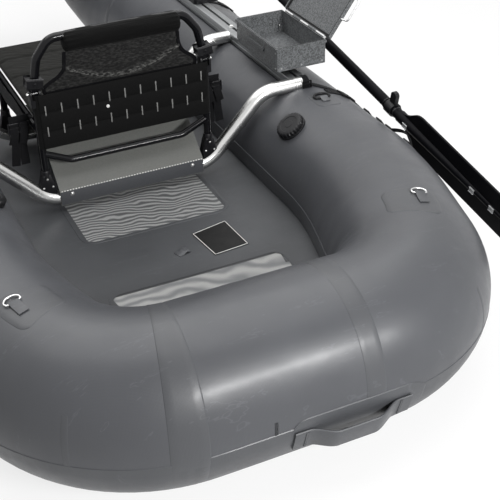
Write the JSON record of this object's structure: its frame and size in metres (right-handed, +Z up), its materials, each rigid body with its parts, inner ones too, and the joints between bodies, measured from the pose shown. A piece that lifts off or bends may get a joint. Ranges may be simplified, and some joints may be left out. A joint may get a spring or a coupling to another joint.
{
  "type": "inflatable fishing raft",
  "caption": "Framed inflatable raft with an open foot well, cargo floor, metal frame, folding seat, rail-mounted gear box and stowed oars.",
  "frame": {"origin": "on the ground, under the middle of the raft (centre of the bounding box's bottom face)", "axes": "+Y towards the bow, +X to starboard, +Z up"},
  "size_m": [1.5176, 2.79, 0.657],
  "materials": {
    "back_net": "spacer mesh cloth",
    "black_frame": "gloss black tube",
    "black_webbing": "woven webbing",
    "blade_black": "black moulded blade",
    "bolster_cloth": "dark mesh cloth over foam",
    "box_grey": "textured grey paint",
    "box_hinge_metal": "piano hinge",
    "cushion_cloth": "dark mesh cloth over foam",
    "drain_mesh": "open woven drain mesh",
    "floor_fabric": "satin slate-grey coated fabric",
    "gasket_rubber": "soft seal",
    "grip_rubber": "soft grip",
    "handle_metal": "wire loop",
    "handle_webbing": "moulded grey handle",
    "horn_metal": "dark coated",
    "keeper_black": "moulded clip",
    "oar_shaft_black": "black composite shaft",
    "pan_sheet": "grey coated sheet",
    "polished_bar": "polished tube",
    "rail_alloy": "anodised extrusion",
    "ring_steel": "stainless wire",
    "stand_metal": "black anodised",
    "strap_black": "woven webbing",
    "tube_fabric": "glossy slate-grey coated fabric",
    "valve_black": "moulded valve"
  },
  "bodies": {
    "raft": {"air_valves": "valve_black", "bow_handle": "handle_webbing", "bow_tube": "tube_fabric", "box_hinge": "box_hinge_metal", "box_mount": "box_grey", "cargo_floor": "floor_fabric", "d_rings": "ring_steel", "forward_mesh": "drain_mesh", "frame_straps": "strap_black", "front_crossbar": "polished_bar", "gear_box": "box_grey", "hinge_clevises": "black_frame", "keeper_straps": "strap_black", "port_lock_stand": "stand_metal", "port_rail": "rail_alloy", "port_tube": "tube_fabric", "rear_crossbar": "polished_bar", "seat_brackets": "black_frame", "seat_cushion": "cushion_cloth", "seat_frame": "black_frame", "seat_pan": "pan_sheet", "seat_panel": "black_webbing", "side_straps": "black_webbing", "starboard_lock_stand": "stand_metal", "starboard_rail": "rail_alloy", "starboard_tube": "tube_fabric", "stern_handle": "handle_webbing", "stern_mesh": "drain_mesh", "stern_tube": "tube_fabric"},
    "seat_back": {"back_hoop": "black_frame", "back_bolster": "bolster_cloth", "back_mesh": "back_net"},
    "box_lid": {"box_lid": "box_grey", "lid_gasket": "gasket_rubber", "lid_handle": "handle_metal"},
    "port_oarlock": {"port_lock_horn": "horn_metal"},
    "starboard_oarlock": {"starboard_lock_horn": "horn_metal"},
    "port_oar": {"port_oar_shaft": "oar_shaft_black", "port_oar_grip": "grip_rubber", "port_oar_blade": "blade_black", "port_oar_keeper": "keeper_black"},
    "starboard_oar": {"starboard_oar_shaft": "oar_shaft_black", "starboard_oar_grip": "grip_rubber", "starboard_oar_blade": "blade_black", "starboard_oar_keeper": "keeper_black"}
  },
  "joints": [
    {"name": "seat_back_fold", "type": "hinge", "parent": "raft", "child": "seat_back", "pos_m": [0, -0.325, 0.5], "axis": [-1, 0, 0], "range_deg": [0, 90]},
    {"name": "box_lid_hinge", "type": "hinge", "parent": "raft", "child": "box_lid", "pos_m": [0.613, -0.16, 0.473], "axis": [0, -1, 0], "range_deg": [0, 126]},
    {"name": "port_oarlock_swivel", "type": "hinge", "parent": "raft", "child": "port_oarlock", "pos_m": [-0.68, 0.395, 0.45], "axis": [0, 0, -1], "range_deg": [0, 80]},
    {"name": "port_oar_dip", "type": "hinge", "parent": "port_oarlock", "child": "port_oar", "pos_m": [-0.68, 0.395, 0.494], "axis": [-0.9987, 0.0511, 0], "range_deg": [0, 10]},
    {"name": "starboard_oarlock_swivel", "type": "hinge", "parent": "raft", "child": "starboard_oarlock", "pos_m": [0.68, 0.395, 0.45], "axis": [0, 0, 1], "range_deg": [0, 80]},
    {"name": "starboard_oar_dip", "type": "hinge", "parent": "starboard_oarlock", "child": "starboard_oar", "pos_m": [0.68, 0.395, 0.494], "axis": [-0.9987, -0.0511, 0], "range_deg": [0, 10]}
  ]
}
